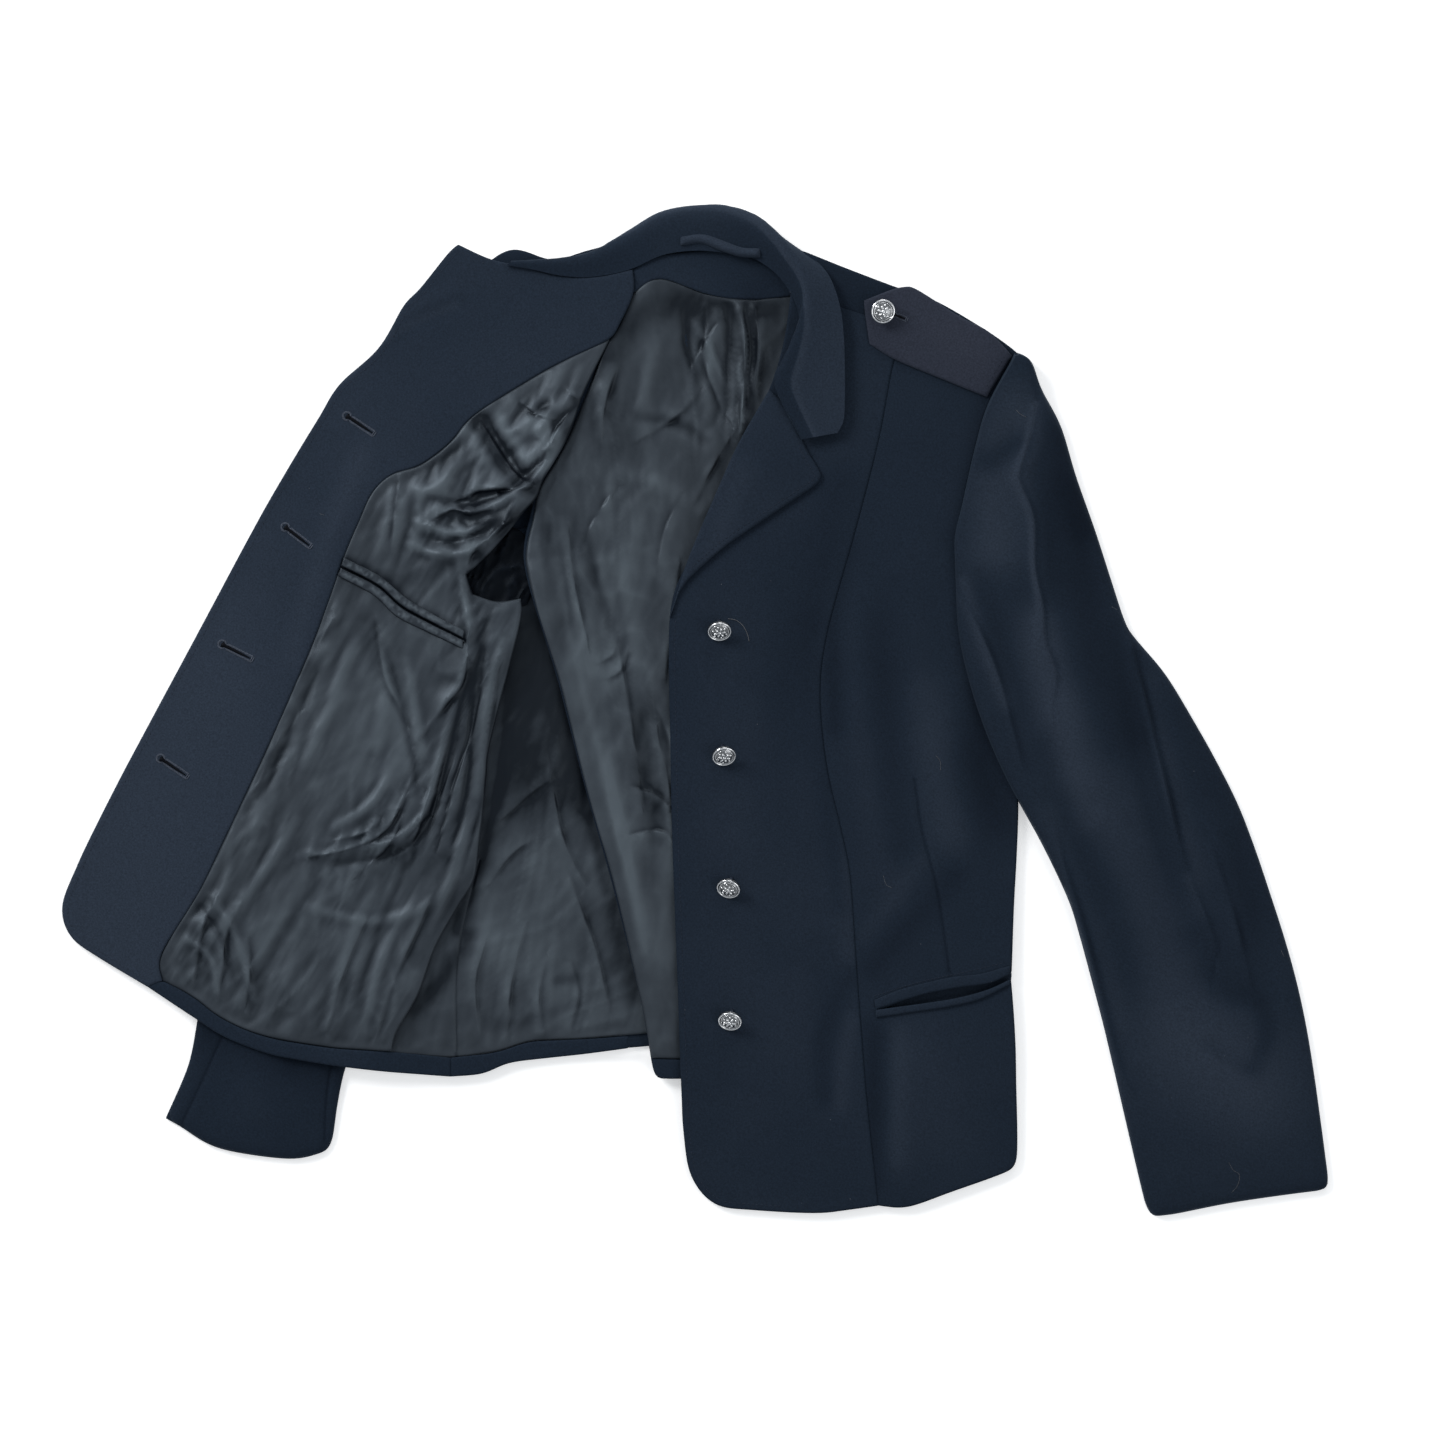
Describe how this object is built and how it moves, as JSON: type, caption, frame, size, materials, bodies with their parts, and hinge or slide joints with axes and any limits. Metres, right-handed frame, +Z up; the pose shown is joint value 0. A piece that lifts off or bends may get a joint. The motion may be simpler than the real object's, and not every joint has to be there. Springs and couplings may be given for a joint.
{
  "type": "dress uniform jacket",
  "caption": "Tailored dress uniform jacket laid flat on its back, one front closed over with notch lapel, buttons and shoulder strap, the other turned open to show its satin lining.",
  "frame": {"origin": "centre of the garment's outline, on the surface it lies on", "axes": "+Z up from the surface, +Y from the hem towards the collar, +X towards the wearer's left sleeve"},
  "size_m": [0.8436, 0.6722, 0.0238],
  "materials": {
    "wool_twill": "dark navy wool twill, matt with a faint worn sheen",
    "satin_lining": "dark grey-green satin lining, softly glossy",
    "silver_button": "bright silver-coloured metal with raised relief"
  },
  "bodies": {
    "root": {"right_sleeve_under": "wool_twill", "right_sleeve_upper": "wool_twill", "collar_fall_right": "wool_twill", "right_front": "wool_twill", "right_side": "wool_twill", "back_right": "wool_twill", "lining_side": "satin_lining", "sleeve_lining": "satin_lining", "back_left": "wool_twill", "lining_back": "satin_lining", "neck_facing": "wool_twill", "hem_back": "wool_twill", "right_facing": "wool_twill", "lining_front": "satin_lining", "hem_right_front": "wool_twill", "hem_right_side": "wool_twill", "collar_stand": "wool_twill", "inside_welt_upper": "satin_lining", "inside_welt_lower": "satin_lining", "pocket_bag": "satin_lining", "left_front": "wool_twill", "left_side_front": "wool_twill", "left_shoulder": "wool_twill", "left_lapel": "wool_twill", "pocket_welt_upper": "wool_twill", "pocket_welt_lower": "wool_twill", "left_sleeve_under": "wool_twill", "left_sleeve_upper": "wool_twill", "collar_fall_left": "wool_twill", "epaulette": "wool_twill", "hanger_loop": "wool_twill", "button_1": "silver_button", "button_2": "silver_button", "button_3": "silver_button", "button_4": "silver_button", "button_epaulette": "silver_button"}
  },
  "joints": []
}
